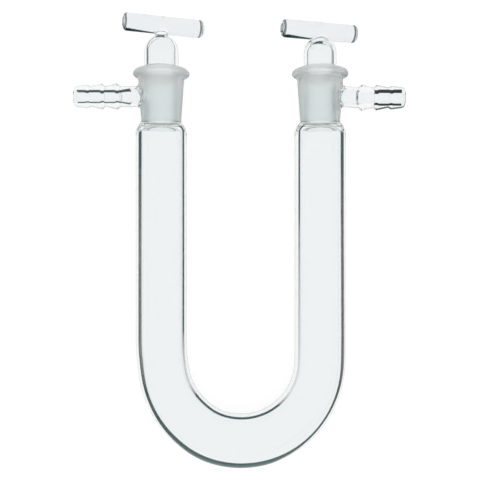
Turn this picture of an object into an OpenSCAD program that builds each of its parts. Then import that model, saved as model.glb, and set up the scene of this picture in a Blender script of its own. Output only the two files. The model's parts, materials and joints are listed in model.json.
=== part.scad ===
// Drying tube: a U of borosilicate glass with two barbed side arms and two
// hollow ground stoppers that turn in its sockets. It lies flat, with the
// sockets towards +Y, and the origin is under its middle, on the surface.

/* [U tube] */
// Outer diameter of the tube
tube_od = 20; // [17:0.5:25]
// Wall of the tube
tube_wall = 1.3; // [1:0.1:2]
// Distance between the axes of the two limbs
limb_spacing = 62.5; // [50:0.5:90]
// Length from the socket rims to the outside of the bend
tube_length = 156; // [120:1:220]

/* [Sockets] */
// Bore of each ground socket at its rim
socket_d = 14.5; // [12:0.1:17.5]
// Diameter that the ground joint loses for each millimetre of its length
joint_taper = 0.1; // [0.08:0.01:0.12]
// Length of the ground bore
socket_length = 21.5; // [19:0.5:26]
// Wall of the socket at its rim
socket_wall = 2.05; // [1.5:0.05:2.5]
// Wall of the socket at the lower end of the ground bore
socket_foot_wall = 1.55; // [1.2:0.05:2]
// Width of the rolled rim, from the bore to its outside
rim_width = 3.8; // [3:0.1:5]
// Thickness of the rolled rim along the limb
rim_thickness = 3.9; // [2.5:0.1:5]
// Radius of the hollow crease under the rolled rim
rim_crease = 0.8; // [0.3:0.1:1.2]
// Radius of the rounded edge between the rim and the ground bore
mouth_round = 0.4; // [0.2:0.1:0.8]

/* [Shoulders] */
// Outer radius of the shoulder between socket and limb
shoulder_r = 5; // [3:0.5:6]
// Distance from the ground bore's end down to where the outside has full width
shoulder_length = 3.7; // [3:0.1:8]
// Radius of the hollow crease between socket and shoulder
shoulder_crease = 1; // [0.3:0.1:1.5]
// Inner radius of the shoulder
inner_shoulder_r = 3.5; // [2.5:0.5:5]
// Distance from the ground bore's end down to where the hollow has full width
inner_shoulder_length = 4.5; // [3.5:0.1:9]

/* [Side arms] */
// Distance from the rim down to the axis of the side arms
arm_drop = 10.6; // [10:0.1:13]
// Reach of the left arm from its limb's axis
left_arm_reach = 34.2; // [32:0.1:45]
// Reach of the right arm from its limb's axis
right_arm_reach = 33.2; // [32:0.1:45]
// Outer diameter of the plain stem
stem_d = 8.2; // [7:0.1:9]
// Diameter in front of and between the barbs
barb_root_d = 8; // [6.5:0.1:10]
// Heights of the three barbs over that diameter, from the tip inwards
barb_height = [0.65, 1, 1.1]; // [0.4:0.05:2]
// Distance from the tip to the first barb
first_barb = 5.3; // [4:0.1:6]
// Distance from one barb to the next
barb_pitch = 5.85; // [4.5:0.05:6.5]
// Length of the steep side of a barb
barb_back = 1.1; // [0.5:0.1:2]
// Radius of the rounded crest of a barb
barb_round = 0.4; // [0.2:0.05:0.5]
// Radius of the fire-polished tip
tip_round = 1.2; // [0.5:0.1:1.4]
// Bore of the arm under the barbs
arm_bore_d = 4.5; // [3.5:0.1:5]
// Bore of the arm where it opens into the socket
port_d = 5.8; // [5:0.1:6.2]
// Distance from the socket's outside to where the bore starts to narrow
port_depth = 3.4; // [2:0.1:5]
// Length over which the bore narrows
port_narrowing = 4; // [2:0.5:6]
// How far the collar that seals the arm to the socket stands out from the stem
collar_flare = 1.2; // [0.6:0.1:2]
// Height of the collar over the socket's outside
collar_height = 1.2; // [0.8:0.1:2]

/* [Stoppers] */
// Radial clearance of the ground plug in its socket
joint_gap = 0.03; // [0.01:0.01:0.1]
// How far the plug reaches past the end of the ground bore
plug_overhang = 1.5; // [0:0.1:3]
// Radius of the rounded edge at the plug's lower end
plug_round = 0.35; // [0.2:0.05:0.4]
// Wall of the plug at its open lower end
plug_foot_wall = 0.85; // [0.6:0.05:1.5]
// Side wall of the hollow head
head_wall = 1.5; // [1:0.1:2]
// Height of the ground face above the rim
ground_lift = 0.5; // [0.2:0.1:1]
// Height of the slope from the ground face in to the head
head_step = 0.4; // [0.2:0.1:1]
// Diameter of the gas port in the plug
plug_port_d = 4.5; // [3:0.1:5]
// Diameter of the neck between head and handle bar
neck_d = 5.1; // [4:0.1:6]
// Radius of the hollow crease where a neck that shows stands on its dome
neck_crease = 0.4; // [0.2:0.1:0.6]
// Diameter of the solid handle bar
bar_d = 7; // [6.5:0.1:8.5]
// Radius of the fire-polished edge at the ends of the bar
bar_round = 1.6; // [0.5:0.1:3]

/* [Left stopper] */
// How far the left head stands in from the ground face above the rim
left_head_inset = 0.45; // [0.1:0.05:1]
// Height above the rim at which the left head starts to close
left_dome_base = 6.75; // [4:0.05:9]
// Glass above the left hollow
left_crown = 0.8; // [0.6:0.1:2]
// Gap between the left dome's crown and the bar, which the neck bridges
left_neck_gap = 0.45; // [-1.5:0.05:1.5]
// Length of the left bar
left_bar_length = 32.6; // [24:0.1:40]
// How far the left bar's middle lies to the right of its neck
left_bar_shift = 1; // [-3:0.1:3]
// Turn of the left bar out of the plane of the U
left_turn = 22; // [0:1:22]

/* [Right stopper] */
// How far the right head stands in from the ground face above the rim
right_head_inset = 0.85; // [0.1:0.05:1]
// Height above the rim at which the right head starts to close
right_dome_base = 6.4; // [4:0.05:9]
// Glass above the right hollow
right_crown = 1.8; // [0.6:0.1:2]
// Gap between the right dome's crown and the bar, less than 0 where they fuse
right_neck_gap = -1.2; // [-1.5:0.05:1.5]
// Length of the right bar
right_bar_length = 31.6; // [24:0.1:40]
// How far the right bar's middle lies to the right of its neck
right_bar_shift = -0.2; // [-3:0.1:3]
// Turn of the right bar out of the plane of the U
right_turn = 18; // [0:1:22]

/* [Hidden] */
$fn = 96;
overcut = 1;

tube_id = tube_od - 2 * tube_wall;
bend_r = limb_spacing / 2;
limb_length = tube_length - tube_od / 2 - bend_r;
socket_r = socket_d / 2 + socket_wall;
socket_foot_r = bore_r(-socket_length) + socket_foot_wall;
rim_r = socket_d / 2 + rim_width;
arm_root = bore_r(-socket_length);
collar_reach = outside_r(-arm_drop) + collar_height;
port_reach = outside_r(-arm_drop) + port_depth;
shoulder_drop = socket_length + shoulder_length;
inner_shoulder_drop = socket_length + inner_shoulder_length;
plug_length = socket_length + plug_overhang;

left_head_r = bore_r(ground_lift) - joint_gap - left_head_inset;
right_head_r = bore_r(ground_lift) - joint_gap - right_head_inset;
left_bar_height = left_dome_base + left_head_r + left_neck_gap + bar_d / 2;
right_bar_height = right_dome_base + right_head_r + right_neck_gap + bar_d / 2;
bar_top = max(left_bar_height, right_bar_height) + bar_d / 2;

// Where the limbs stand in the lying part
lie_x = (left_arm_reach - right_arm_reach) / 2;
rim_y = (tube_length - bar_top) / 2;
lie_z = max(rim_r, tube_od / 2);

glass = [0.86, 0.93, 0.91, 0.35];

// Radius of the ground bore at a height above the rim
function bore_r(height) = (socket_d + joint_taper * height) / 2;

// Radius of the socket's outside at a height above the rim
function outside_r(height) =
    socket_r + (socket_foot_r - socket_r) * -height / socket_length;

// A limb's own frame: origin in the middle of its rim, Z out of the socket
module in_left_limb() {
    translate([lie_x - bend_r, rim_y, lie_z]) rotate([-90, 0, 0]) children();
}

module in_right_limb() {
    translate([lie_x + bend_r, rim_y, lie_z]) rotate([-90, 0, 0]) children();
}

module quarter_disc(radius) {
    intersection() {
        circle(r = radius);
        square(radius);
    }
}

// Fills the corner between a wall along Y and a round bead with a hollow arc
// that is tangent to both. up is 1 where the wall stands on the bead, and -1
// where it hangs below.
module crease(wall_r, bead_at, bead_r, crease_r, up) {
    across = wall_r + crease_r - bead_at[0];
    along = sqrt(pow(bead_r + crease_r, 2) - across * across);
    centre = [wall_r + crease_r, bead_at[1] + up * along];
    touch = bead_at + (centre - bead_at) * bead_r / (bead_r + crease_r);
    difference() {
        polygon([
            [wall_r - crease_r, centre[1]],
            [wall_r, centre[1]],
            centre,
            touch,
            [wall_r - crease_r, touch[1]]
        ]);
        translate(centre) circle(r = crease_r);
    }
}

// Half section of the outside of one limb
module limb_outline() {
    bead_r = rim_thickness / 2;
    bead_at = [rim_r - bead_r, -bead_r];
    translate(bead_at) circle(r = bead_r);
    translate([0, -rim_thickness]) square([bead_at[0], rim_thickness]);
    crease(outside_r(-rim_thickness - rim_crease), bead_at, bead_r, rim_crease, -1);
    polygon([
        [0, -bead_r],
        [outside_r(-bead_r), -bead_r],
        [socket_foot_r, -socket_length],
        [0, -socket_length]
    ]);
    shoulder_outline(tube_od / 2, shoulder_r, shoulder_drop);
    crease(outside_r(-socket_length + shoulder_crease),
           [tube_od / 2 - shoulder_r, -shoulder_drop], shoulder_r, shoulder_crease, 1);
}

// Half section of the hollow of one limb
module limb_hollow() {
    polygon([
        [0, overcut],
        [bore_r(overcut), overcut],
        [bore_r(-socket_length), -socket_length],
        [bore_r(-socket_length), -inner_shoulder_drop],
        [0, -inner_shoulder_drop]
    ]);
    difference() {
        translate([0, -mouth_round]) square([socket_d / 2 + mouth_round, mouth_round + overcut]);
        translate([socket_d / 2 + mouth_round, -mouth_round]) circle(r = mouth_round);
    }
    shoulder_outline(tube_id / 2, inner_shoulder_r, inner_shoulder_drop);
}

// Straight limb that closes in with one round shoulder
module shoulder_outline(radius, round_r, drop) {
    translate([radius - round_r, -drop]) quarter_disc(round_r);
    translate([0, -drop]) square([radius - round_r, round_r]);
    translate([0, -limb_length]) square([radius, limb_length - drop]);
}

module bend(diameter) {
    translate([lie_x, rim_y - limb_length, lie_z])
        rotate([0, 0, 180])
            rotate_extrude(angle = 180)
                translate([bend_r, 0]) circle(d = diameter);
}

// Where a line from a point touches a circle: side is 1 or -1
function touch(from, centre, radius, side) =
    let (
        to = centre - from,
        turn = side * asin(radius / norm(to)),
        reach = sqrt(to * to - radius * radius) / norm(to)
    )
    from + reach * [
        to[0] * cos(turn) - to[1] * sin(turn),
        to[0] * sin(turn) + to[1] * cos(turn)
    ];

// One barb: a long ramp from the front, a rounded crest and a steep back
module barb(front, crest, back) {
    polygon([
        [0, front[1]],
        front,
        touch(front, crest, barb_round, 1),
        crest,
        touch(back, crest, barb_round, -1),
        back,
        [0, back[1]]
    ]);
    translate(crest) circle(r = barb_round);
}

// Half section of a side arm: X is the radius, Y the reach from the limb's axis
module arm_outline(reach) {
    root_r = barb_root_d / 2;
    last = len(barb_height) - 1;
    tip_y = reach - tip_round;
    crest_y = [for (i = [0 : last]) reach - first_barb - i * barb_pitch];
    back_y = [for (y = crest_y) y - barb_back];
    for (i = [0 : last])
        barb([root_r, i == 0 ? tip_y : back_y[i - 1]],
             [root_r + barb_height[i] - barb_round, crest_y[i]],
             [i == last ? stem_d / 2 : root_r, back_y[i]]);
    translate([0, arm_root]) square([stem_d / 2, back_y[last] - arm_root]);
    translate([root_r - tip_round, tip_y]) quarter_disc(tip_round);
    translate([0, tip_y]) square([root_r - tip_round, tip_round]);
    collar_outline();
}

// Collar that swells from the stem to the socket wall in a hollow curve
module collar_outline() {
    collar_r = stem_d / 2 + collar_flare;
    difference() {
        translate([0, arm_root]) square([collar_r, collar_reach - arm_root]);
        translate([collar_r, collar_reach]) circle(r = collar_flare);
    }
}

module arm_bore_outline(reach) {
    polygon([
        [0, 0],
        [port_d / 2, 0],
        [port_d / 2, port_reach],
        [arm_bore_d / 2, port_reach + port_narrowing],
        [arm_bore_d / 2, reach + overcut],
        [0, reach + overcut]
    ]);
}

// Lays an arm's section across the limb: side is -1 for left and 1 for right
module across(side) {
    translate([0, 0, -arm_drop]) rotate([0, side * 90, 0]) rotate_extrude() children();
}

module u_tube() {
    color(glass) difference() {
        union() {
            in_left_limb() {
                rotate_extrude() limb_outline();
                across(-1) arm_outline(left_arm_reach);
            }
            in_right_limb() {
                rotate_extrude() limb_outline();
                across(1) arm_outline(right_arm_reach);
            }
            bend(tube_od);
        }
        in_left_limb() {
            rotate_extrude() limb_hollow();
            across(-1) arm_bore_outline(left_arm_reach);
        }
        in_right_limb() {
            rotate_extrude() limb_hollow();
            across(1) arm_bore_outline(right_arm_reach);
        }
        bend(tube_id);
    }
}

// Half section of the ground plug, its domed head and the neck of its handle
module plug_outline(head_r, dome_base, bar_height) {
    foot_y = plug_round - plug_length;
    foot_r = bore_r(foot_y) - joint_gap;
    polygon([
        [0, foot_y],
        [foot_r, foot_y],
        [bore_r(ground_lift) - joint_gap, ground_lift],
        [head_r, ground_lift + head_step],
        [head_r, dome_base],
        [0, dome_base]
    ]);
    translate([0, -plug_length]) square([foot_r - plug_round, plug_round]);
    translate([foot_r - plug_round, foot_y]) circle(r = plug_round);
    translate([0, dome_base]) quarter_disc(head_r);
    translate([0, dome_base]) square([neck_d / 2, bar_height - dome_base]);
    if (bar_height - bar_d / 2 > dome_base + head_r)
        crease(neck_d / 2, [0, dome_base], head_r, neck_crease, 1);
}

// Half section of the hollow, which is open at the plug's lower end
module plug_hollow(head_r, hollow_top) {
    hollow_r = head_r - head_wall;
    mouth_r = bore_r(-plug_length) - joint_gap - plug_foot_wall;
    polygon([
        [0, -plug_length - overcut],
        [mouth_r, -plug_length - overcut],
        [mouth_r, -plug_length],
        [hollow_r, 0],
        [hollow_r, hollow_top - hollow_r],
        [0, hollow_top - hollow_r]
    ]);
    translate([0, hollow_top - hollow_r]) quarter_disc(hollow_r);
}

// Solid rod with fire-polished edges, along X
module handle_bar(length) {
    rotate([0, 90, 0]) translate([0, 0, -length / 2]) rotate_extrude() {
        square([bar_d / 2 - bar_round, length]);
        translate([0, bar_round]) square([bar_d / 2, length - 2 * bar_round]);
        for (end = [bar_round, length - bar_round])
            translate([bar_d / 2 - bar_round, end]) circle(r = bar_round);
    }
}

// A stopper in its limb's frame, with its bar and gas port along X
module stopper(side, head_r, dome_base, crown, bar_height, bar_length, bar_shift) {
    color(glass) difference() {
        union() {
            rotate_extrude() plug_outline(head_r, dome_base, bar_height);
            translate([bar_shift, 0, bar_height]) handle_bar(bar_length);
        }
        rotate_extrude() plug_hollow(head_r, dome_base + head_r - crown);
        translate([0, 0, -arm_drop])
            rotate([0, side * 90, 0]) cylinder(d = plug_port_d, h = socket_d);
    }
}

module left_stopper() {
    in_left_limb() rotate([0, 0, left_turn])
        stopper(-1, left_head_r, left_dome_base, left_crown,
                left_bar_height, left_bar_length, left_bar_shift);
}

module right_stopper() {
    in_right_limb() rotate([0, 0, right_turn])
        stopper(1, right_head_r, right_dome_base, right_crown,
                right_bar_height, right_bar_length, right_bar_shift);
}

u_tube();
left_stopper();
right_stopper();
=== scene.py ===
import json
import math

import bmesh
import bpy
import numpy as np
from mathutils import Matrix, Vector

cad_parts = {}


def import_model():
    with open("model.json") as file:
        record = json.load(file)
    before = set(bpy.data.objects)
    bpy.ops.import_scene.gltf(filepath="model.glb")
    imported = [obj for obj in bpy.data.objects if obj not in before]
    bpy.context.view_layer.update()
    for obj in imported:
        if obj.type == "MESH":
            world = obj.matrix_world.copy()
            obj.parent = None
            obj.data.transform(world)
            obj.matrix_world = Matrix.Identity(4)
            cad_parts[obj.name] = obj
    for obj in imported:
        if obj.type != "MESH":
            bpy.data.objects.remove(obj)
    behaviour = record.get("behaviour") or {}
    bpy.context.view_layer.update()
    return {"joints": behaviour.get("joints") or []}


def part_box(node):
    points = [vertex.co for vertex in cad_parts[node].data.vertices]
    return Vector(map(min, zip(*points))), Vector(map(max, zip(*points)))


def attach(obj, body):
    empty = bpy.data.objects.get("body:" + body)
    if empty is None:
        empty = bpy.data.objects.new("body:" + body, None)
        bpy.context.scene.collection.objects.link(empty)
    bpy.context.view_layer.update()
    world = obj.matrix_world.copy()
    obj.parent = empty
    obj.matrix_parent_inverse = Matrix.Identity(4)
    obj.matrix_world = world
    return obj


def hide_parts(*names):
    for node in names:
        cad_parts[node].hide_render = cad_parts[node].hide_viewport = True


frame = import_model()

# ---------------------------------------------------------------- sizes, in millimetres, as in the part's source

TUBE_R = 10.0
TUBE_BORE_R = 8.7
SOCKET_D = 14.5
JOINT_TAPER = 0.1
SOCKET_LENGTH = 21.5
SOCKET_WALL = 2.05
SOCKET_FOOT_WALL = 1.55
RIM_WIDTH = 3.8
RIM_THICKNESS = 3.9
RIM_CREASE = 0.8
MOUTH_ROUND = 0.4
SHOULDER_R = 5.0
SHOULDER_LENGTH = 3.7
SHOULDER_CREASE = 1.0
INNER_SHOULDER_R = 3.5
INNER_SHOULDER_LENGTH = 4.5

ARM_DROP = 10.6
STEM_R = 4.1
BARB_ROOT_R = 4.0
BARB_HEIGHTS = (0.65, 1.0, 1.1)
FIRST_BARB = 5.3
BARB_PITCH = 5.85
BARB_BACK = 1.1
BARB_ROUND = 0.4
TIP_ROUND = 1.2
ARM_BORE_R = 2.25
PORT_R = 2.9
PORT_DEPTH = 3.4
PORT_NARROWING = 4.0
COLLAR_FLARE = 1.2
COLLAR_HEIGHT = 1.2

JOINT_GAP = 0.03
PLUG_OVERHANG = 1.5
PLUG_ROUND = 0.35
PLUG_FOOT_WALL = 0.85
HEAD_WALL = 1.5
GROUND_LIFT = 0.5
HEAD_STEP = 0.4
PLUG_PORT_R = 2.25
NECK_R = 2.55
BAR_R = 3.5
BAR_ROUND = 1.6

# Each stopper's sizes, and the painted shade on its head, dark lines standing in for the dark surroundings seen
# through the glass: where the line down each side starts and ends, by how far the glass faces away, and how dark it
# is, then how far the arc in the crown reaches to each side, where it starts and ends in the same way, and its
# greatest height above the foot of the dome.
STOPPERS = {
    "left_stopper": dict(
        side=-1, inset=0.45, dome_base=6.75, crown=0.8, gap=0.45, length=32.6, shift=1.0, turn=22,
        painted_lines=dict(left=(0.345, 0.415, 0.95), right=(0.32, 0.39, 0.12),
                   arc_sides=(-1.6, 1.5), arc_line=(0.52, 0.72), arc_top=7.0),
    ),
    "right_stopper": dict(
        side=1, inset=0.85, dome_base=6.4, crown=1.8, gap=-1.2, length=31.6, shift=-0.2, turn=18,
        painted_lines=dict(left=(0.44, 0.50, 0.05), right=(0.31, 0.38, 0.9),
                   arc_sides=(-3.8, 0.4), arc_line=(0.20, 0.33), arc_top=5.5),
    ),
}

# ---------------------------------------------------------------- sizes that only the looks have

# edges that are melted rather than sharp
SHOULDER_EDGE_ROUND = 0.3
BARB_FOOT_ROUND = 0.35
BORE_MOUTH_ROUND = 0.5
PORT_ROUND = 2.0
PORT_EDGE = 0.3
PLUG_PORT_EDGE = 0.2
PLUG_MOUTH_ROUND = 0.3
PLUG_TOP_ROUND = 0.15
HEAD_FOOT_ROUND = 0.5

# how far a barb's sharp crest would be beyond its place, as a share of its rounding
CREST_LEAD = 0.4

# where the edge of an arm's port starts, beyond the ground bore
PORT_START = 0.6

# the fillet of a neck, from the dome to the bar: how far it reaches beyond the waist at its foot and at the bar
NECK_FOOT, NECK_BROW = 0.85, 0.5

# the bead's underside is flatter than its top: the share of its height that it keeps
RIM_UNDERSIDE = 0.6

# the bend is swollen outwards and a little lower at its foot, and the limbs lean in where it starts
BEND_SWELL, BEND_DROP = 0.45, 0.1
LEFT_LEAN, RIGHT_LEAN = 0.8, 0.15
LEAN_FROM, LEAN_FALL, LEAN_RISE = 7, 12, 8

# the right arm sags as it leaves its socket, from a reach on and over a length
RIGHT_SAG = 0.45
SAG_FROM, SAG_OVER = 9, 6

# the reach at which the painted shade lines in an arm's bore start, and how far before the tip they end
LEFT_LINE_FROM, RIGHT_LINE_FROM, LINE_BEFORE_TIP = 12.5, 22.0, 0.4

# the rings of painted shade on a bar: how far from the end each starts and ends
LEFT_RING, RIGHT_RING = (0.1, 0.8), (1.5, 2.3)

# ---------------------------------------------------------------- places, from the frame

MM = 0.001
JOINTS = {j["child"]: np.array(j["pos_m"]) / MM for j in frame["joints"]}
LEFT_RIM, RIGHT_RIM = JOINTS["left_stopper"], JOINTS["right_stopper"]
BEND_CENTRE_X = (LEFT_RIM[0] + RIGHT_RIM[0]) / 2
BEND_R = (RIGHT_RIM[0] - LEFT_RIM[0]) / 2
TUBE_LOW, TUBE_HIGH = (np.array(c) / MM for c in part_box("u_tube"))
LIMB_LENGTH = LEFT_RIM[1] - TUBE_LOW[1] - TUBE_R - BEND_R
BEND_TOP = LEFT_RIM[1] - LIMB_LENGTH
ARM_REACH = {"left": LEFT_RIM[0] - TUBE_LOW[0], "right": TUBE_HIGH[0] - RIGHT_RIM[0]}

X, Y, Z = np.eye(3)


def bore_r(height):
    """Radius of the ground bore at a height above the rim."""
    return (SOCKET_D + JOINT_TAPER * height) / 2


SOCKET_R = SOCKET_D / 2 + SOCKET_WALL
SOCKET_FOOT_R = bore_r(-SOCKET_LENGTH) + SOCKET_FOOT_WALL
RIM_R = SOCKET_D / 2 + RIM_WIDTH


def outside_r(height):
    """Radius of the socket's outside at a height above the rim."""
    return SOCKET_R + (SOCKET_FOOT_R - SOCKET_R) * -height / SOCKET_LENGTH


PLUG_LENGTH = SOCKET_LENGTH + PLUG_OVERHANG
PLUG_FOOT = PLUG_ROUND - PLUG_LENGTH
PLUG_FOOT_R = bore_r(PLUG_FOOT) - JOINT_GAP
PLUG_TOP_R = bore_r(GROUND_LIFT) - JOINT_GAP
PLUG_MOUTH_R = bore_r(-PLUG_LENGTH) - JOINT_GAP - PLUG_FOOT_WALL


def plug_r(height):
    """Radius of a plug's outside at a height above the rim."""
    return PLUG_FOOT_R + (PLUG_TOP_R - PLUG_FOOT_R) * (height - PLUG_FOOT) / (GROUND_LIFT - PLUG_FOOT)


# ---------------------------------------------------------------- mesh tools

# the finishes of a mesh, which are the places of its materials in their list
CLEAR, GROUND = 0, 1
TUBE, LEFT_BORE, RIM, RIGHT_BORE, ARM = range(2, 7)
HEAD, BAR_EDGE, BAR, BAR_END, BAR_FACE = range(2, 7)


class Skin:
    """Collects points and the faces between them, and makes one closed mesh of them."""

    def __init__(self, name):
        self.name, self.points, self.faces, self.finishes = name, [], [], []
        self.count = 0

    def ring(self, points):
        """Adds a row of points and returns their numbers."""
        self.points.append(points)
        start, self.count = self.count, self.count + len(points)
        return np.arange(start, self.count)

    def face(self, corners, finish):
        """Adds one face."""
        self.faces.append([int(c) for c in corners])
        self.finishes.append(finish)

    def bridge(self, a, b, finish=CLEAR):
        """Joins two closed rings of as many points with quads."""
        for i in range(len(a)):
            j = (i + 1) % len(a)
            self.face((a[i], a[j], b[j], b[i]), finish)

    def stack(self, rings, finish=CLEAR):
        """Joins each closed ring to the next."""
        for a, b in zip(rings, rings[1:]):
            self.bridge(a, b, finish)

    def cap(self, ring, pole, finish=CLEAR):
        """Closes a ring with a fan round one point."""
        tip = self.ring(np.array([pole]))[0]
        for i in range(len(ring)):
            self.face((ring[i], ring[(i + 1) % len(ring)], tip), finish)

    def lattice(self, rows, windows, finishes):
        """Joins a stack of closed rings, and leaves out the cells in each window (first row, last row,
        first column, last column). Columns may run past either end. Returns the loop round each window."""
        columns = len(rows[0])
        for r in range(len(rows) - 1):
            for c in range(columns):
                if not any(r0 <= r < r1 and (c - c0) % columns < c1 - c0 for r0, r1, c0, c1 in windows):
                    d = (c + 1) % columns
                    self.face((rows[r][c], rows[r][d], rows[r + 1][d], rows[r + 1][c]), finishes[r])
        loops = []
        for r0, r1, c0, c1 in windows:
            cells = [(r0, c) for c in range(c0, c1)] + [(r, c1) for r in range(r0, r1)]
            cells += [(r1, c) for c in range(c1, c0, -1)] + [(r, c0) for r in range(r1, r0, -1)]
            loops.append(np.array([rows[r][c % columns] for r, c in cells]))
        return loops

    def at(self, numbers):
        """The places of points by number."""
        return np.concatenate(self.points)[numbers]

    def build(self, materials):
        """Makes the object, with its faces turned outwards and its materials in the order of the finishes."""
        mesh = bpy.data.meshes.new(self.name)
        places = np.concatenate(self.points) * MM
        mesh.from_pydata(places.tolist(), [], self.faces)
        for material in materials:
            mesh.materials.append(material)
        mesh.polygons.foreach_set("material_index", self.finishes)
        work = bmesh.new()
        work.from_mesh(mesh)
        bmesh.ops.recalc_face_normals(work, faces=work.faces)
        work.to_mesh(mesh)
        work.free()
        mesh.shade_smooth()
        made = bpy.data.objects.new(self.name, mesh)
        bpy.context.scene.collection.objects.link(made)
        return made


def arc(centre, radius, start, end, steps):
    """Points on an arc in the (radius, height) plane, with angles in degrees from the radius axis."""
    angles = np.radians(np.linspace(start, end, steps + 1))
    return [(centre[0] + radius * math.cos(a), centre[1] + radius * math.sin(a)) for a in angles]


def line(start, end, steps):
    """Points from start to end, without the two ends."""
    return [tuple(np.array(start) + (np.array(end) - start) * i / steps) for i in range(1, steps)]


def fill(points, longest):
    """Splits each step of a polyline that is longer than a length."""
    out = [points[0]]
    for a, b in zip(points, points[1:]):
        steps = max(1, math.ceil(math.dist(a, b) / longest))
        out += line(a, b, steps) + [b]
    return out


def rounded(corners, steps):
    """A polyline with its corners rounded: each corner is (radius, height, rounding)."""
    points = [corners[0][:2]]
    for before, here, after in zip(corners, corners[1:], corners[2:]):
        p, rounding = np.array(here[:2]), here[2]
        u, v = np.array(before[:2]) - p, np.array(after[:2]) - p
        u, v = u / np.linalg.norm(u), v / np.linalg.norm(v)
        half = math.acos(np.clip(u @ v, -1, 1)) / 2
        straight = abs(half - math.pi / 2) < 1e-4
        if rounding == 0 or straight:
            points.append(tuple(p))
            continue
        reach = rounding / math.tan(half)
        centre = p + (u + v) / np.linalg.norm(u + v) * rounding / math.sin(half)
        first, last = p + u * reach - centre, p + v * reach - centre
        turn = math.atan2(first[0] * last[1] - first[1] * last[0], first @ last)
        for i in range(steps + 1):
            a = turn * i / steps
            c, s = math.cos(a), math.sin(a)
            points.append(tuple(centre + (c * first[0] - s * first[1], s * first[0] + c * first[1])))
    points.append(corners[-1][:2])
    return points


def crease(wall_r, bead, bead_r, crease_r, up, steps):
    """The hollow arc between a straight wall and a round bead: up is 1 where the wall stands on the bead. Returns
    the angle at which it meets the bead, and its points."""
    across = wall_r + crease_r - bead[0]
    along = math.sqrt((bead_r + crease_r) ** 2 - across**2)
    centre = (wall_r + crease_r, bead[1] + up * along)
    toward = math.degrees(math.atan2(bead[1] - centre[1], bead[0] - centre[0])) % 360
    return toward, arc(centre, crease_r, toward, 180, steps)


def smooth(t):
    """Eases from 0 to 1 as t does."""
    return t * t * (3 - 2 * t)


def directions(edge):
    """The angle of each point of a loop round its axis, and the point of the unit circle there."""
    angles = np.arctan2(edge[:, 1], edge[:, 0])
    return angles, np.stack([np.cos(angles), np.sin(angles)], axis=1)


def on_cone(radius_at, plane):
    """How far out from its axis a round wall is, at places in the plane of an arm or a port."""
    return np.sqrt(radius_at(plane[:, 0] - ARM_DROP) ** 2 - plane[:, 1] ** 2)


# ---------------------------------------------------------------- U tube

TUBE_COLUMNS = 128
WINDOW_COLUMNS = 16
WINDOW_ROWS = 24
WINDOW_ABOVE, WINDOW_BELOW = 5.4, 6.2
LIMB_STEPS = 22
BEND_STEPS = 64


def limb_outside():
    """Outer section of a limb from the mouth down, as (radius, height) points, and the window's rows."""
    bead_r = RIM_THICKNESS / 2
    bead = (RIM_R - bead_r, -bead_r)
    wall = outside_r(-RIM_THICKNESS - RIM_CREASE)
    toward, hollow = crease(wall, bead, bead_r, RIM_CREASE, -1, 8)
    bead_end = (toward + 180) % 360 - 360
    points = line((SOCKET_D / 2 + MOUTH_ROUND, 0), (bead[0], 0), 4)
    points += arc(bead, bead_r, 90, bead_end, 22)
    points += hollow[1:]
    points = [(r, h if h > bead[1] else bead[1] + (h - bead[1]) * RIM_UNDERSIDE) for r, h in points]
    foot = (TUBE_R - SHOULDER_R, -SOCKET_LENGTH - SHOULDER_LENGTH)
    foot_wall = outside_r(-SOCKET_LENGTH + SHOULDER_CREASE)
    foot_toward, foot_hollow = crease(foot_wall, foot, SHOULDER_R, SHOULDER_CREASE, 1, 8)
    below_bead = points[-1][1] - 0.3
    window = (len(points), len(points) + WINDOW_ROWS)
    points += [(outside_r(h), h) for h in np.linspace(below_bead, -ARM_DROP - WINDOW_BELOW, WINDOW_ROWS + 1)]
    points += [(outside_r(h), h) for h in np.linspace(points[-1][1], foot_hollow[-1][1], 5)[1:-1]]
    points += foot_hollow[::-1]
    points += arc(foot, SHOULDER_R, (foot_toward - 180) % 360, 0, 14)[1:]
    points += line(points[-1], (TUBE_R, -LIMB_LENGTH), LIMB_STEPS)
    return points, window


def limb_inside():
    """Inner section of a limb from the mouth down, and the window's rows and the ground rows."""
    points = arc((SOCKET_D / 2 + MOUTH_ROUND, -MOUTH_ROUND), MOUTH_ROUND, 90, 180, 5)
    ground_from = len(points) - 1
    top, low = -ARM_DROP + WINDOW_ABOVE, -ARM_DROP - WINDOW_BELOW
    points += [(bore_r(h), h) for h in np.linspace(points[-1][1], top, 6)[1:-1]]
    window = (len(points), len(points) + WINDOW_ROWS)
    points += [(bore_r(h), h) for h in np.linspace(top, low, WINDOW_ROWS + 1)]
    points += [(bore_r(h), h) for h in np.linspace(low, -SOCKET_LENGTH, 5)[1:]]
    ground_to = len(points) - 1
    drop = -SOCKET_LENGTH - INNER_SHOULDER_LENGTH
    foot = (TUBE_BORE_R - INNER_SHOULDER_R, drop)
    edge_x = bore_r(-SOCKET_LENGTH) + SHOULDER_EDGE_ROUND
    reach = math.degrees(math.acos((edge_x - foot[0]) / (INNER_SHOULDER_R + SHOULDER_EDGE_ROUND)))
    rise = (INNER_SHOULDER_R + SHOULDER_EDGE_ROUND) * math.sin(math.radians(reach))
    points += arc((edge_x, drop + rise), SHOULDER_EDGE_ROUND, 180, 180 + reach, 5)
    points += arc(foot, INNER_SHOULDER_R, reach, 0, 12)[1:]
    points += line(points[-1], (TUBE_BORE_R, -LIMB_LENGTH), LIMB_STEPS)
    return points, window, (ground_from, ground_to)


def lean(x, y):
    """How far the tube leans in towards the middle of the U round the start of its bend."""
    falling = np.clip((BEND_TOP + LEAN_FROM - y) / LEAN_FALL, 0, 1)
    rising = np.clip((y - (BEND_TOP - BEND_R)) / LEAN_RISE, 0, 1)
    return (LEFT_LEAN if x < BEND_CENTRE_X else RIGHT_LEAN) * smooth(falling) * smooth(rising)


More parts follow.
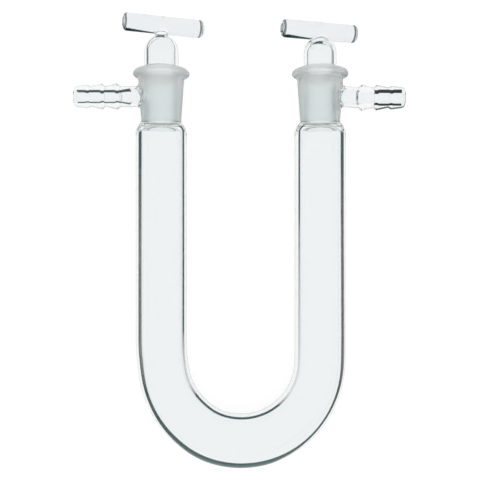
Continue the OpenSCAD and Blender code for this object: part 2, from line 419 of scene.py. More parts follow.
def around(radius, out, centre, swell=0.0):
    """A ring of the tube's wall, with out the direction away from the middle of the U."""
    centre = centre - np.sign(centre[0] - BEND_CENTRE_X) * lean(centre[0], centre[1]) * X
    angles = np.arange(TUBE_COLUMNS) * 2 * math.pi / TUBE_COLUMNS
    return centre + np.outer((radius + swell) * np.cos(angles), out) + np.outer(radius * np.sin(angles), Z)


def limb_rows(skin, section, rim, out):
    """The rings of a limb, from its mouth down."""
    return [skin.ring(around(r, out, rim + h * Y)) for r, h in section]


def bend_rows(skin, radius):
    """The rings of the bend, from left to right."""
    centre = np.array([BEND_CENTRE_X, BEND_TOP, LEFT_RIM[2]])
    rows = []
    for i in range(BEND_STEPS + 1):
        a = math.pi * i / BEND_STEPS
        out = -math.cos(a) * X - math.sin(a) * Y
        middle = centre + (BEND_R + BEND_DROP * math.sin(a) ** 2) * out
        rows.append(skin.ring(around(radius, out, middle, BEND_SWELL * math.sin(a) ** 2)))
    return rows


def tube_wall(skin, section, window, radius, finish, own_rows, own_finish):
    """One side of the tube's wall from mouth to mouth, with a window for each arm. In each limb, own_rows have a
    finish of their own. Returns the first and the last ring and the loops round the windows."""
    left = limb_rows(skin, section, LEFT_RIM, -X)
    bend = bend_rows(skin, radius)
    right = limb_rows(skin, section, RIGHT_RIM, X)[::-1]
    rows = left + bend + right
    last = len(rows) - 1
    finishes = [finish] * len(rows)
    for r in range(*own_rows):
        finishes[r] = finishes[last - 1 - r] = own_finish
    first, end = window
    columns = (-WINDOW_COLUMNS, WINDOW_COLUMNS)
    loops = skin.lattice(rows, [(first, end, *columns), (last - end, last - first, *columns)], finishes)
    return rows[0], rows[-1], loops


def arm_section(reach):
    """Section of a side arm: (radius, reach) from the collar out to the tip, and the bore back to the port."""
    crests = [reach - FIRST_BARB - i * BARB_PITCH for i in range(len(BARB_HEIGHTS))]
    wall_reach = outside_r(-ARM_DROP)
    last = len(crests) - 1
    corners = [(STEM_R, wall_reach + COLLAR_HEIGHT, 0)]
    for i in range(last, -1, -1):
        root = STEM_R if i == last else BARB_ROOT_R
        corners.append((root, crests[i] - BARB_BACK, BARB_FOOT_ROUND))
        corners.append((BARB_ROOT_R + BARB_HEIGHTS[i], crests[i] + BARB_ROUND * CREST_LEAD, BARB_ROUND))
    tip = ((BARB_ROOT_R + ARM_BORE_R) / 2 - 0.1, reach, 0)
    corners += [(BARB_ROOT_R, reach, TIP_ROUND), tip]
    port_reach = wall_reach + PORT_DEPTH
    bore_corners = [
        tip,
        (ARM_BORE_R, reach, BORE_MOUTH_ROUND),
        (ARM_BORE_R, port_reach + PORT_NARROWING, PORT_ROUND),
        (PORT_R, port_reach, PORT_ROUND),
        (PORT_R, bore_r(-ARM_DROP) + PORT_START, 0),
    ]
    return fill(rounded(corners, 6), 1.2), fill(rounded(bore_corners, 6)[1:], 1.0)


def arm(skin, rim, out, outer_loop, inner_loop, reach, sag, line_from, bore_finish):
    """A side arm between the window in the socket's outside and the window in its bore. It sags a little as it
    leaves the socket, and its bore has a finish of its own, lines of painted shade, from a reach on to near the tip."""
    axis_at = rim - ARM_DROP * Y

    def flat(loop):
        """The points of a loop in the plane across the arm."""
        away = skin.at(loop) - axis_at
        return np.stack([away @ Y, away @ Z], axis=1)

    outer_edge, inner_edge = flat(outer_loop), flat(inner_loop)
    _, circle = directions(outer_edge)

    def place(plane, along):
        """Places from where they are in that plane and how far out along the arm."""
        height = plane[:, 0] - sag * smooth(np.clip((along - SAG_FROM) / SAG_OVER, 0, 1))
        return axis_at + np.outer(height, Y) + np.outer(plane[:, 1], Z) + np.outer(along, out)

    # the collar, flat on the socket and then up to the stem
    collar_r = STEM_R + COLLAR_FLARE
    rings = [outer_loop]
    for t in np.linspace(0, 1, 6)[1:]:
        plane = outer_edge + (circle * collar_r - outer_edge) * t
        rings.append(skin.ring(place(plane, on_cone(outside_r, plane))))
    rise = outside_r(-ARM_DROP) + COLLAR_HEIGHT - on_cone(outside_r, circle * STEM_R)
    for a in np.radians(np.linspace(0, 90, 11)[1:]):
        plane = circle * (collar_r - COLLAR_FLARE * math.sin(a))
        rings.append(skin.ring(place(plane, on_cone(outside_r, plane) + (1 - math.cos(a)) * rise)))
    stem_from = len(rings) - 1

    # out to the tip and back through the bore
    outer, inner = arm_section(reach)
    for r, along in outer[1:] + inner:
        rings.append(skin.ring(place(circle * r, np.full(len(circle), along))))
    bore_from, bore_to = len(rings) - len(inner), len(rings) - 1

    # the round edge of the port, and the socket's bore round it
    edge = circle * (PORT_R + PORT_EDGE)
    fall = bore_r(-ARM_DROP) + PORT_START - on_cone(bore_r, edge)
    for a in np.radians(np.linspace(90, 0, 6)[1:]):
        plane = circle * (PORT_R + PORT_EDGE * (1 - math.sin(a)))
        rings.append(skin.ring(place(plane, on_cone(bore_r, plane) + (1 - math.cos(a)) * fall)))
    edge_at = len(rings) - 1
    for t in np.linspace(0, 1, 6)[1:-1]:
        plane = edge + (inner_edge - edge) * t
        rings.append(skin.ring(place(plane, on_cone(bore_r, plane))))
    rings.append(inner_loop)

    skin.stack(rings[:stem_from + 1])
    skin.stack(rings[stem_from:bore_from + 1], ARM)
    reaches = [reach] + [along for _, along in inner]
    for a, b, along in zip(rings[bore_from:], rings[bore_from + 1:bore_to + 1], reaches):
        skin.bridge(a, b, bore_finish if line_from < along < reach - LINE_BEFORE_TIP else CLEAR)
    skin.stack(rings[bore_to:edge_at + 1])
    skin.stack(rings[edge_at:], GROUND)


def u_tube():
    """Both limbs, the bend, the sockets and the arms, as one closed mesh."""
    skin = Skin("u_tube_glass")
    outside, outside_window = limb_outside()
    inside, inside_window, ground_rows = limb_inside()
    bead_rows = (0, outside_window[0] - 1)
    outer = tube_wall(skin, outside, outside_window, TUBE_R, TUBE, bead_rows, RIM)
    inner = tube_wall(skin, inside, inside_window, TUBE_BORE_R, CLEAR, ground_rows, GROUND)
    skin.bridge(outer[0], inner[0])
    skin.bridge(outer[1], inner[1])
    (left_out, right_out), (left_in, right_in) = outer[2], inner[2]
    arm(skin, LEFT_RIM, -X, left_out, left_in, ARM_REACH["left"], 0.0, LEFT_LINE_FROM, LEFT_BORE)
    arm(skin, RIGHT_RIM, X, right_out, right_in, ARM_REACH["right"], RIGHT_SAG, RIGHT_LINE_FROM, RIGHT_BORE)
    return skin.build([
        clear_glass("tube_glass", GLASS_TINT), ground_glass("ground_socket"), tube_glass(),
        bore_glass("arm_bore", *LEFT_BORE_LINES), rim_glass(), bore_glass("arm_bore_end", *RIGHT_BORE_LINES),
        arm_glass(),
    ])


# ---------------------------------------------------------------- stoppers

BAR_COLUMNS = 80
BAR_WINDOW_COLUMNS = 16
BAR_STEPS = 8
NECK_WINDOW = 5.2
NECK_WINDOW_ROWS = 24
PLUG_PORT_ROWS = 16
PLUG_PORT_WINDOW = 3.6
PLUG_PORT_ANGLE = 33


def rounded_end(tip, way, angles):
    """Section of a rounded end of the bar, as (along, radius) points: way is 1 at its left end, -1 at its right."""
    return [(tip + way * BAR_ROUND * (1 - math.sin(a)), BAR_R - BAR_ROUND * (1 - math.cos(a))) for a in angles]


def bar_section(start, end):
    """Section of the bar, as (along, radius) points, and the rows of the neck's window."""
    points = rounded_end(start, 1, np.radians(np.linspace(90, 0, 9)))
    points += [(x, BAR_R) for x in np.linspace(start + RIGHT_RING[1], -NECK_WINDOW, BAR_STEPS + 1)[:-1]]
    window = (len(points), len(points) + NECK_WINDOW_ROWS)
    points += [(x, BAR_R) for x in np.linspace(-NECK_WINDOW, NECK_WINDOW, NECK_WINDOW_ROWS + 1)]
    points += [(x, BAR_R) for x in np.linspace(NECK_WINDOW, end - RIGHT_RING[1], BAR_STEPS + 1)[1:]]
    points += rounded_end(end, -1, np.radians(np.linspace(0, 90, 9)))
    return points, window


def under_bar(plane, bar_h):
    """Height of the bar's underside over places in the plane across the limb's axis."""
    return bar_h - np.sqrt(np.maximum(BAR_R**2 - plane[:, 1] ** 2, 0.0))


def waist_of(circle, head_r, dome_base, bar_h):
    """In each direction, the radius of the neck: where the dome is inside the bar, it is as wide as that."""
    waist = np.full(len(circle), NECK_R)
    for i, c in enumerate(circle):
        for r in np.linspace(0.3, 5.0, 400):
            b = r * c[1]
            dome_h = dome_base + math.sqrt(head_r**2 - r * r)
            if abs(b) < BAR_R and dome_h > bar_h - math.sqrt(BAR_R**2 - b * b):
                waist[i] = max(waist[i], r)
    for _ in range(6):
        waist = (np.roll(waist, 1) + 2 * waist + np.roll(waist, -1)) / 4
    return waist


def fillet(circle, waist, head_r, dome_base, bar_h):
    """The neck's fillet, in each direction: the radius where it leaves the dome, the places where it meets the bar,
    and the four points of its curve, each (radius, height)."""
    foot, brow = waist + NECK_FOOT, waist + NECK_BROW
    foot_h = dome_base + np.sqrt(head_r**2 - foot**2)
    foot_way = np.stack([-np.sqrt(head_r**2 - foot**2), foot], axis=1) / head_r
    brow_plane = circle * brow[:, None]
    brow_h = under_bar(brow_plane, bar_h)
    root = np.sqrt(np.maximum(BAR_R**2 - brow_plane[:, 1] ** 2, 0.01))
    brow_way = np.stack([np.ones(len(circle)), brow_plane[:, 1] * circle[:, 1] / root], axis=1)
    brow_way /= np.linalg.norm(brow_way, axis=1)[:, None]
    pulled = (8 * waist - foot - brow) / 6
    foot_pull = (foot - pulled) / -foot_way[:, 0]
    brow_pull = (brow - pulled) / brow_way[:, 0]
    p0, p3 = np.stack([foot, foot_h], axis=1), np.stack([brow, brow_h], axis=1)
    return foot, brow_plane, (p0, p0 + foot_way * foot_pull[:, None], p3 - brow_way * brow_pull[:, None], p3)


def plug_outside(head_r, dome_base):
    """Outer section of a stopper from its foot to its dome, and the rows of the port's window and the ground rows."""
    low, high = -ARM_DROP - PLUG_PORT_WINDOW, -ARM_DROP + PLUG_PORT_WINDOW
    points = [((PLUG_MOUTH_R + PLUG_FOOT_R - PLUG_ROUND) / 2, -PLUG_LENGTH)]
    points += arc((PLUG_FOOT_R - PLUG_ROUND, PLUG_FOOT), PLUG_ROUND, -90, 0, 6)
    ground_from = len(points) - 1
    points += [(plug_r(h), h) for h in np.linspace(PLUG_FOOT, low, 6)[1:-1]]
    window = (len(points), len(points) + PLUG_PORT_ROWS)
    points += [(plug_r(h), h) for h in np.linspace(low, high, PLUG_PORT_ROWS + 1)]
    points += [(plug_r(h), h) for h in np.linspace(high, GROUND_LIFT, 6)[1:-1]]
    ground_to = len(points)
    points += rounded([
        (plug_r(GROUND_LIFT - 0.2), GROUND_LIFT - 0.2, 0),
        (PLUG_TOP_R, GROUND_LIFT, PLUG_TOP_ROUND),
        (head_r, GROUND_LIFT + HEAD_STEP, HEAD_FOOT_ROUND),
        (head_r, GROUND_LIFT + HEAD_STEP + 1.0, 0),
    ], 4)
    points += line(points[-1], (head_r, dome_base), 5)
    return points, window, (ground_from, ground_to)


def plug_inside(hollow_r, top, wall):
    """Inner section of a stopper from its foot to near the top of its hollow, and the rows of the port's window."""
    low, high = -ARM_DROP - PLUG_PORT_WINDOW, -ARM_DROP + PLUG_PORT_WINDOW
    points = arc((PLUG_MOUTH_R + PLUG_MOUTH_ROUND, PLUG_MOUTH_ROUND - PLUG_LENGTH), PLUG_MOUTH_ROUND, -90, -180, 5)
    points += [(wall(h), h) for h in np.linspace(points[-1][1], low, 6)[1:-1]]
    window = (len(points), len(points) + PLUG_PORT_ROWS)
    points += [(wall(h), h) for h in np.linspace(low, high, PLUG_PORT_ROWS + 1)]
    points += [(wall(h), h) for h in np.linspace(high, 0, 5)[1:]]
    points += line((hollow_r, 0), (hollow_r, top - hollow_r), 5)
    points += arc((0, top - hollow_r), hollow_r, 0, 88, 22)
    return points, window


def port(skin, rim, out, across, outer_loop, inner_loop, wall):
    """The gas port through the plug's wall, between a window in each of its faces."""
    axis_at = rim - ARM_DROP * Y

    def flat(loop):
        """The points of a loop in the plane across the port."""
        away = skin.at(loop) - axis_at
        return np.stack([away @ Y, away @ across], axis=1)

    def place(plane, along):
        """Places from where they are in that plane and how far out along the port."""
        return axis_at + np.outer(plane[:, 0], Y) + np.outer(plane[:, 1], across) + np.outer(along, out)

    outer_edge, inner_edge = flat(outer_loop), flat(inner_loop)
    _, circle = directions(outer_edge)

    def rings_on(radius_at, edge, shares):
        """Rings on a round wall, between its window's edge and the port."""
        planes = [edge + (circle * (PLUG_PORT_R + PLUG_PORT_EDGE) - edge) * t for t in shares]
        return [skin.ring(place(plane, on_cone(radius_at, plane))) for plane in planes]

    outside = rings_on(plug_r, outer_edge, np.linspace(0, 1, 5)[1:])
    inside = rings_on(wall, inner_edge, np.linspace(1, 0, 5)[:-1])
    plane = circle * PLUG_PORT_R
    through = [skin.ring(place(plane, on_cone(plug_r, plane) - PLUG_PORT_EDGE)),
               skin.ring(place(plane, on_cone(wall, plane) + PLUG_PORT_EDGE))]
    skin.stack([outer_loop] + outside, GROUND)
    skin.stack([outside[-1]] + through + [inside[0]])
    skin.stack(inside + [inner_loop])


def stopper(name, side, inset, dome_base, crown, gap, length, shift, turn, painted_lines):
    """A hollow ground stopper with its port and its handle bar, as one closed mesh."""
    skin = Skin(name + "_glass")
    rim = JOINTS[name]
    angle = math.radians(turn)
    along = math.cos(angle) * X - math.sin(angle) * Z
    across = -math.sin(angle) * X - math.cos(angle) * Z
    head_r = PLUG_TOP_R - inset
    bar_h = dome_base + head_r + gap + BAR_R
    start, end = shift - length / 2, shift + length / 2

    def place(x, b, h):
        """Places from how far they are along the bar, across it towards the table, and above the rim."""
        x, b, h = np.broadcast_arrays(x, b, h)
        return rim + np.outer(x, along) + np.outer(b, across) + np.outer(h, Y)

    # the handle bar, with a window in its underside for the neck
    turns = np.arange(BAR_COLUMNS) * 2 * math.pi / BAR_COLUMNS

    def bar_ring(x, r):
        """A ring round the bar's axis."""
        return skin.ring(place(x, r * np.sin(turns), bar_h - r * np.cos(turns)))

    section, neck_rows = bar_section(start, end)
    rows = [bar_ring(x, r) for x, r in section]
    window = (*neck_rows, -BAR_WINDOW_COLUMNS, BAR_WINDOW_COLUMNS)
    (bar_loop,) = skin.lattice(rows, [window], [BAR] * len(rows))
    for row, x, finish in ((rows[0], start, BAR_FACE), (rows[-1], end, BAR)):
        rings = [row] + [bar_ring(x, r) for r in (1.4, 0.9, 0.4)]
        skin.stack(rings, finish)
        skin.cap(rings[-1], rim + x * along + bar_h * Y, finish)

    # the outside, from the foot of the plug over the dome and the neck to the bar
    away = skin.at(bar_loop) - rim
    edge = np.stack([away @ along, away @ across], axis=1)
    angles, circle = directions(edge)

    def round_ring(r, h):
        """A ring round the stopper's axis."""
        return skin.ring(place(r * circle[:, 0], r * circle[:, 1], h))

    waist = waist_of(circle, head_r, dome_base, bar_h)
    foot, brow_plane, (p0, p1, p2, p3) = fillet(circle, waist, head_r, dome_base, bar_h)
    section, outer_rows, (ground_from, ground_to) = plug_outside(head_r, dome_base)
    outer = [round_ring(r, h) for r, h in section]
    neck_at = np.arcsin(foot / head_r)
    for t in np.linspace(0, 1, 17):
        polar = math.pi / 2 + (neck_at - math.pi / 2) * t
        outer.append(round_ring(head_r * np.sin(polar), dome_base + head_r * np.cos(polar)))
    for t in np.linspace(0, 1, 13)[1:]:
        curve = (1 - t) ** 3 * p0 + 3 * (1 - t) ** 2 * t * p1 + 3 * (1 - t) * t * t * p2 + t**3 * p3
        outer.append(round_ring(curve[:, 0], curve[:, 1]))
    bar_from = len(outer) - 1
    for t in np.linspace(0, 1, 5)[1:-1]:
        plane = brow_plane + (edge - brow_plane) * t
        outer.append(skin.ring(place(plane[:, 0], plane[:, 1], under_bar(plane, bar_h))))
    outer.append(bar_loop)

    # the hollow
    hollow_r = head_r - HEAD_WALL
    hollow_top = dome_base + head_r - crown

    def wall(height):
        """Radius of the hollow at a height above the rim."""
        return PLUG_MOUTH_R + (hollow_r - PLUG_MOUTH_R) * (height + PLUG_LENGTH) / PLUG_LENGTH

    section, inner_rows = plug_inside(hollow_r, hollow_top, wall)
    inner = [round_ring(r, h) for r, h in section]
    skin.cap(inner[-1], rim + hollow_top * Y)

    # the walls, with a window for the port in each
    port_at = 0.0 if side > 0 else math.pi
    off = np.abs((angles - port_at + math.pi) % (2 * math.pi) - math.pi)
    middle = int(np.argmin(off))
    half = 1
    while off[(middle + half) % len(off)] < math.radians(PLUG_PORT_ANGLE):
        half += 1
    columns = (middle - half, middle + half)
    finishes = [HEAD] * len(outer)
    finishes[ground_from:ground_to] = [GROUND] * (ground_to - ground_from)
    finishes[bar_from:] = [BAR] * (len(outer) - bar_from)
    (outer_port,) = skin.lattice(outer, [outer_rows + columns], finishes)
    (inner_port,) = skin.lattice(inner, [inner_rows + columns], [CLEAR] * len(inner))
    skin.bridge(outer[0], inner[0])
    port(skin, rim, side * along, across, outer_port, inner_port, wall)

    # painted shade on the bar: a dark ring at each end, on the right only where it faces up, and a dark line to the
    # neck
    points = skin.at(np.arange(skin.count))
    for i, finish in enumerate(skin.finishes):
        if finish == BAR:
            x, b, h = (points[skin.faces[i]].mean(axis=0) - rim) @ np.stack([along, across, Y], axis=1)
            if LEFT_RING[0] < x - start < LEFT_RING[1] or (RIGHT_RING[0] < end - x < RIGHT_RING[1] and b < 0.3):
                skin.finishes[i] = BAR_END
            elif start + LEFT_RING[1] < x < -NECK_R and h < bar_h:
                skin.finishes[i] = BAR_EDGE
    return skin.build([
        clear_glass("stopper_glass", GLASS_TINT), ground_glass("ground_plug"), head_glass(rim, dome_base, **painted_lines),
        bar_edge_glass(rim[0] + start, rim[0]), clear_glass("bar_glass", ROD_TINT),
        bar_end_glass("bar_end", (0.40, 0.60), (0.85, 1.0)), bar_end_glass("bar_cap", (0.40, 0.52), (0.15, 1.0)),
    ])


# ---------------------------------------------------------------- materials

GLASS_IOR = 1.473
GLASS_TINT = (0.925, 0.941, 0.945)
ROD_TINT = (0.842, 0.866, 0.879)
# the dark green of the painted shade: lines that stand in for the dark surroundings seen through the glass
PAINTED_SHADE_GREEN = (0.0003, 0.006, 0.0045)

# the scales of the noises, a metre
SHADES, GRAIN, MARKS = 60.0, 250.0, 900.0

ARM_AXIS = (LEFT_RIM[1] - ARM_DROP) * MM
HALF_MM = 0.5 * MM

# The painted shade lines in the bores of the arms: the bore's IOR, and where the line starts and ends on its upper
# side and on its lower side, by how far the glass faces away. An end over 1 is the edge.
LEFT_BORE_LINES = (1.29, (0.20, 2.0), (0.38, 2.0))
RIGHT_BORE_LINES = (1.06, (0.17, 0.85), (0.30, 2.0))

# The painted shade lines on the outside of the tube: where they start and end, in the same way, on the left and
# right limbs, and how much is added to that towards the foot of the bend.
OUTER_START, OUTER_START_AT_FOOT = (0.36, 0.405), (0.045, 0.035)
OUTER_END, OUTER_END_AT_FOOT = (0.54, 0.63), (0.03, -0.17)
INNER_START, INNER_START_AT_FOOT = (0.455, 0.365), -0.095
INNER_END, INNER_END_AT_FOOT = (0.595, 0.455), -0.06
OUTER_WIDER_AT_FOOT = (0.42, 0.26)


class Nodes:
    """Adds nodes to a tree. A value is a number, a colour or another node's output, and what a method returns is
    an output too, unless it says otherwise."""

    def __init__(self, tree):
        self.tree = tree

    def feed(self, socket, value):
        """Sets an input to a value."""
        if isinstance(value, tuple):
            socket.default_value = (*value, 1)
        elif isinstance(value, (int, float)):
            socket.default_value = value
        else:
            self.tree.links.new(value, socket)

    def add(self, kind, inputs=None, **settings):
        """Adds a node, and returns all of its outputs."""
        node = self.tree.nodes.new(kind)
        for key, value in settings.items():
            setattr(node, key, value)
        for key, value in (inputs or {}).items():
            self.feed(node.inputs[key], value)
        return node.outputs

    def math(self, operation, *values):
        """The result of a sum or a function."""
        return self.add("ShaderNodeMath", dict(enumerate(values)), operation=operation)[0]

    def times(self, first, *others):
        """The product of some values."""
        for other in others:
            first = self.math("MULTIPLY", first, other)
        return first

    def plus(self, base, share, amount):
        """The base and a share of an amount."""
        return self.math("MULTIPLY_ADD", share, amount, base)

    def ranged(self, value, low, high, to_low=0.0, to_high=1.0):
        """A value from low to high, mapped to to_low and to_high, and no further."""
        return self.add("ShaderNodeMapRange", {"Value": value, "From Min": low, "From Max": high,
                                               "To Min": to_low, "To Max": to_high})[0]

    def step(self, value, low, high):
        """Rises smoothly from 0 at low to 1 at high."""
        ends = (0, 1) if low < high else (1, 0)
        return self.add("ShaderNodeMapRange", {"Value": value, "From Min": min(low, high), "From Max": max(low, high),
                                               "To Min": ends[0], "To Max": ends[1]},
                        interpolation_type="SMOOTHSTEP")[0]

    def mixed(self, share, a, b):
        """The colour between a and b."""
        return self.add("ShaderNodeMix", {"Factor": share, "A": a, "B": b}, data_type="RGBA")["Result"]

    def noise(self, scale):
        """An even noise, from 0 to 1."""
        return self.add("ShaderNodeTexNoise", {"Scale": scale})["Fac"]

    def place(self, kind="Object"):
        """The x, y and z of a texture coordinate."""
        return self.add("ShaderNodeSeparateXYZ", {0: self.add("ShaderNodeTexCoord")[kind]})

    def facing(self):
        """How far the surface faces away, from 0 to 1 at its edge."""
        return self.add("ShaderNodeLayerWeight", {"Blend": 0.5})["Facing"]

    def line(self, start, end, soft=0.018):
        """1 where the surface faces away by an amount from start to end, and 0 elsewhere."""
        facing = self.facing()
        rise = self.ranged(self.math("SUBTRACT", facing, start), -soft, soft)
        fall = self.ranged(self.math("SUBTRACT", facing, end), soft, -soft)
        return self.times(rise, fall)


def glass(name, colour, roughness=0.0, ior=GLASS_IOR, transmission=1.0):
    """A see-through glass: the material, its nodes and the socket of its colour."""
    material = bpy.data.materials.new(name)
    material.use_nodes = True
    shader = material.node_tree.nodes["Principled BSDF"]
    shader.inputs["Base Color"].default_value = (*colour, 1)
    shader.inputs["Roughness"].default_value = roughness
    shader.inputs["IOR"].default_value = ior
    shader.inputs["Transmission Weight"].default_value = transmission
    return material, Nodes(material.node_tree), shader.inputs["Base Color"]


def clear_glass(name, tint):
    """Clear glass, with its tint varying a little from place to place."""
    material, nodes, colour = glass(name, tint)
    lighter, darker = (tuple(channel * share for channel in tint) for share in (1.01, 0.98))
    nodes.feed(colour, nodes.mixed(nodes.noise(SHADES), darker, lighter))
    return material


def bore_glass(name, ior, upper, lower):
    """An arm's bore: clear in the middle, with a dark green line of painted shade along each side."""
    material, nodes, colour = glass(name, GLASS_TINT, ior=ior)
    y = nodes.place()[1]
    start, end = (nodes.ranged(y, ARM_AXIS - HALF_MM, ARM_AXIS + HALF_MM, *ends) for ends in zip(lower, upper))
    nodes.feed(colour, nodes.mixed(nodes.line(start, end), GLASS_TINT, PAINTED_SHADE_GREEN))
    return material


def arm_glass():
    """The outside of the arms: clear, with grey outlines of painted shade, and a dark one under the end of the right
    arm.
    """
    material, nodes, colour = glass("arm_glass", GLASS_TINT)
    x, y, _ = nodes.place()
    at_end = nodes.ranged(x, (RIGHT_RIM[0] + 21) * MM, (RIGHT_RIM[0] + 22) * MM, 0.35, 1.0)
    share = nodes.times(at_end, nodes.ranged(y, ARM_AXIS + HALF_MM, ARM_AXIS - HALF_MM, 0.45, 1.0))
    painted_outline = nodes.line(nodes.ranged(share, 0.4, 1.0, 0.55, 0.48), 2.0)
    nodes.feed(colour, nodes.mixed(nodes.times(painted_outline, share), GLASS_TINT, PAINTED_SHADE_GREEN))
    return material


def tube_glass():
    """The outside of the limbs and the bend: clear, with a dark green line of painted shade where the wall is seen
    along its length. On the outer side of the U the line grows to the edge of the glass at the foot of the bend. On
    the inner side it is thin, and fades down the limbs, most of all down the right one."""
    material, nodes, colour = glass("tube_glass_painted_shade", GLASS_TINT)
    x, y, _ = nodes.place()
    across = nodes.math("SUBTRACT", x, BEND_CENTRE_X * MM)
    down = nodes.math("MINIMUM", nodes.math("SUBTRACT", y, BEND_TOP * MM), 0.0)
    from_centre = nodes.math("SQRT", nodes.plus(nodes.times(down, down), across, across))
    outer = nodes.ranged(from_centre, (BEND_R - 1) * MM, (BEND_R + 1) * MM)
    foot = nodes.ranged(down, 0.0, -BEND_R * MM)
    deep = nodes.ranged(down, 0.0, -(BEND_R + TUBE_R) * MM)
    on_right = nodes.ranged(across, 0.003, 0.025)

    def by_side(left, right):
        """Goes evenly from one value at the left limb to another at the right limb."""
        return nodes.ranged(across, -BEND_R * MM, BEND_R * MM, left, right)

    def choice(left, right):
        """Goes from one value to another just right of the middle of the U."""
        return nodes.ranged(on_right, 0.0, 1.0, left, right)

    # the painted shade line on the outer side, which widens inwards down the right limb and outwards at the foot of
    # the bend
    low_on_right = nodes.times(on_right, nodes.ranged(y, 0.01, -0.035, 0.0, 0.045))
    start = nodes.plus(by_side(*OUTER_START), foot, nodes.ranged(across, 0.0, BEND_R * MM, *OUTER_START_AT_FOOT))
    start = nodes.plus(start, low_on_right, 0.7)
    end = nodes.plus(by_side(*OUTER_END), foot, by_side(*OUTER_END_AT_FOOT))
    end = nodes.plus(end, low_on_right, 1.3)
    wider = nodes.plus(nodes.math("POWER", deep, 40.0), nodes.math("POWER", deep, 3.0), by_side(*OUTER_WIDER_AT_FOOT))
    outer_painted_line = nodes.line(start, nodes.math("ADD", end, wider))
    outer_share = nodes.math("MAXIMUM", nodes.ranged(foot, 0.0, 0.3, 0.96, 1.0),
                             nodes.ranged(y, 0.0, 0.03, 0.96, 1.0))

    # the painted shade line on the inner side, which fades down the limbs and comes back round the bend
    inner_painted_line = nodes.line(nodes.plus(by_side(*INNER_START), foot, INNER_START_AT_FOOT),
                            nodes.plus(by_side(*INNER_END), foot, INNER_END_AT_FOOT))
    fading = choice(nodes.ranged(y, -0.050, -0.035, 0.45, 1.0), nodes.ranged(y, -0.055, 0.010, 0.1, 1.0))
    back = nodes.ranged(foot, choice(0.15, 0.38), choice(0.40, 0.64))
    inner_share = nodes.math("MAXIMUM", fading, back)

    painted_lines = nodes.math("ADD", nodes.times(outer, outer_share, outer_painted_line),
                       nodes.times(nodes.math("SUBTRACT", 1.0, outer), inner_share, inner_painted_line))
    from_rim = nodes.plus(y, outer, 0.0025)
    below_shoulder = nodes.ranged(from_rim, (LEFT_RIM[1] - 21.8) * MM, (LEFT_RIM[1] - 23.0) * MM)
    nodes.feed(colour, nodes.mixed(nodes.times(painted_lines, below_shoulder), GLASS_TINT, PAINTED_SHADE_GREEN))
    return material


def head_glass(rim, dome_base, left, right, arc_sides, arc_line, arc_top):
    """A stopper's head, with painted shade: a dark line down each side, faint round the dome, and a short dark arc in
    its crown.
    """
    material, nodes, colour = glass("head_glass", GLASS_TINT)
    x, y, _ = nodes.place()
    base = rim[1] + dome_base
    across = nodes.math("SUBTRACT", x, rim[0] * MM)
    on_right = nodes.ranged(across, -HALF_MM, HALF_MM)
    painted_lines = [nodes.times(nodes.line(start, end), share) for start, end, share in (left, right)]
    sides = nodes.times(nodes.ranged(on_right, 0.0, 1.0, *painted_lines),
                        nodes.ranged(y, base * MM, (base + 2.5) * MM, 1.0, 0.35))
    first, last = arc_sides
    painted_arc = nodes.times(
        nodes.line(*arc_line),
        nodes.ranged(across, (first - 0.4) * MM, first * MM),
        nodes.ranged(across, (last + 0.4) * MM, last * MM),
        nodes.ranged(y, (base + 2) * MM, (base + 2.5) * MM),
        nodes.ranged(y, (base + arc_top) * MM, (base + arc_top - 0.3) * MM),
    )
    nodes.feed(colour, nodes.mixed(nodes.math("MAXIMUM", sides, painted_arc), GLASS_TINT, PAINTED_SHADE_GREEN))
    return material


def bar_end_glass(name, noise, share):
    """The rings round the ends of a bar, or the face of its left end: painted shade in dark green, as the noise has
    it.
    """
    material, nodes, colour = glass(name, ROD_TINT)
    nodes.feed(colour, nodes.mixed(nodes.ranged(nodes.noise(MARKS), *noise, *share), ROD_TINT, PAINTED_SHADE_GREEN))
    return material


def bar_edge_glass(start, neck):
    """The bar's lower edge: painted shade, dark green, in a line that thins out towards the neck."""
    material, nodes, colour = glass("bar_edge", ROD_TINT, ior=1.2)
    x = nodes.place()[0]
    clear, dark = (nodes.ranged(x, start * MM, neck * MM, *ends) for ends in ((0.14, 0.53), (0.19, 0.60)))
    nodes.feed(colour, nodes.mixed(nodes.ranged(nodes.facing(), clear, dark), ROD_TINT, PAINTED_SHADE_GREEN))
    return material


def ground_glass(name):
    """Ground glass: frosted, a little uneven, and paler just under the rim, painted light that lifts the rim's shade
    there.
    """
    material, nodes, colour = glass(name, (0.97, 0.995, 0.99), roughness=0.6, ior=1.2)
    grain = nodes.mixed(nodes.noise(GRAIN), (0.925, 0.958, 0.952), (0.965, 0.99, 0.985))
    # painted light: whiter just under the rim, where the rim shades the ground glass
    painted_light_under_rim = nodes.ranged(nodes.place()[1], (LEFT_RIM[1] - 9) * MM, (LEFT_RIM[1] - 4) * MM)
    nodes.feed(colour, nodes.mixed(painted_light_under_rim, grain, (1.0, 1.0, 1.0)))
    return material


def rim_glass():
    """The bead at the mouth of a socket: fire-polished over ground glass, and a little uneven."""
    material, nodes, colour = glass("rim", (0.94, 0.965, 0.958), roughness=0.3, transmission=0.75)
    nodes.feed(colour, nodes.mixed(nodes.noise(GRAIN), (0.85, 0.895, 0.885), (0.90, 0.935, 0.925)))
    return material


# ---------------------------------------------------------------- stage, light and camera

# the light panel under the table, as the sines of the angles at which its edges are seen
PANEL_HALF_WIDTH, PANEL_FRONT, PANEL_BACK = 0.73, -0.90, 0.95


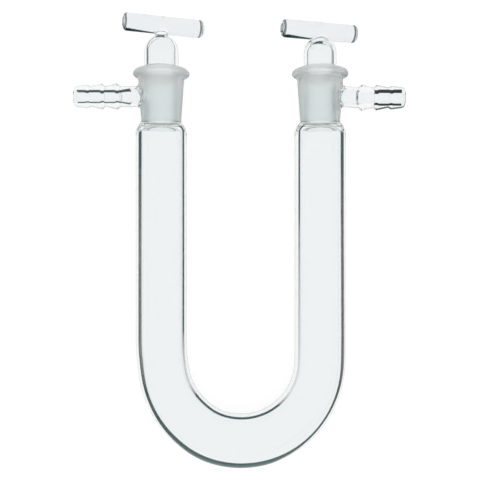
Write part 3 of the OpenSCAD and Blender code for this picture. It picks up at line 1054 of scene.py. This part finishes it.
def floor():
    """A white table. Glass shows the studio through it, and for the camera it is lifted to the white round it."""
    bpy.ops.mesh.primitive_plane_add(size=8)
    plane = bpy.context.object
    plane.name = "floor"
    material = bpy.data.materials.new("white_floor")
    material.use_nodes = True
    material.node_tree.nodes.clear()
    nodes = Nodes(material.node_tree)
    ray = nodes.add("ShaderNodeLightPath")
    white = nodes.add("ShaderNodeBsdfDiffuse", {"Color": (0.9, 0.9, 0.9)})[0]
    pale = nodes.add("ShaderNodeBsdfDiffuse", {"Color": (0.22, 0.22, 0.22)})[0]
    lift = nodes.add("ShaderNodeEmission", {"Color": (0.86, 0.86, 0.86)})[0]
    clear = nodes.add("ShaderNodeBsdfTransparent")[0]
    seen = nodes.add("ShaderNodeAddShader", {0: pale, 1: lift})[0]
    surface = nodes.add("ShaderNodeMixShader", {0: ray["Is Camera Ray"], 1: white, 2: seen})[0]
    surface = nodes.add("ShaderNodeMixShader", {0: ray["Is Transmission Ray"], 1: surface, 2: clear})[0]
    nodes.add("ShaderNodeOutputMaterial", {"Surface": surface})
    plane.data.materials.append(material)


def world():
    """A white studio. For the glass it has a light panel under the table and a dark green floor round it."""
    sky = bpy.data.worlds.new("studio")
    bpy.context.scene.world = sky
    sky.use_nodes = True
    sky.node_tree.nodes.clear()
    nodes = Nodes(sky.node_tree)
    x, y, z = nodes.place("Generated")
    middle, half = (PANEL_BACK + PANEL_FRONT) / 2, (PANEL_BACK - PANEL_FRONT) / 2
    off_middle = nodes.math("SUBTRACT", y, middle)
    wide, deep = (
        nodes.math("POWER", nodes.math("DIVIDE", nodes.math("ABSOLUTE", distance), reach), 2)
        for distance, reach in ((x, PANEL_HALF_WIDTH), (off_middle, half))
    )
    off_panel = nodes.step(nodes.math("ADD", wide, deep), 0.9, 1.1)
    low = nodes.step(z, -0.45, -0.52)
    colour = nodes.mixed(nodes.times(off_panel, low), (1, 1, 1), (0.0, 0.075, 0.062))
    studio = nodes.add("ShaderNodeBackground", {"Color": colour})[0]
    white = nodes.add("ShaderNodeBackground", {"Color": (1, 1, 1)})[0]
    ray = nodes.add("ShaderNodeLightPath")
    in_glass = nodes.math("MAXIMUM", ray["Is Transmission Ray"], ray["Is Glossy Ray"])
    surface = nodes.add("ShaderNodeMixShader", {0: in_glass, 1: white, 2: studio})[0]
    nodes.add("ShaderNodeOutputWorld", {"Surface": surface})


def camera():
    """Straight above the middle of the part, at the distance of a short studio lens."""
    distance, seen = 315.0, 189.0
    lens = bpy.data.cameras.new("camera")
    lens.angle = 2 * math.atan(seen / 2 / distance)
    lens.clip_start = 0.01
    eye = bpy.data.objects.new("camera", lens)
    eye.location = Vector((BEND_CENTRE_X - 0.27, 0.4, LEFT_RIM[2] + distance)) * MM
    bpy.context.scene.collection.objects.link(eye)
    bpy.context.scene.camera = eye


# ---------------------------------------------------------------- the whole scene

camera()
world()
floor()
settings = bpy.context.scene
settings.view_settings.view_transform = "Standard"
settings.cycles.max_bounces = 24
settings.cycles.transmission_bounces = 24
settings.cycles.glossy_bounces = 24
settings.cycles.transparent_max_bounces = 24

piece = u_tube()
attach(piece, "tube")
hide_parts("u_tube")
for name, sizes in STOPPERS.items():
    piece = stopper(name, **sizes)
    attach(piece, name)
    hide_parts(name)
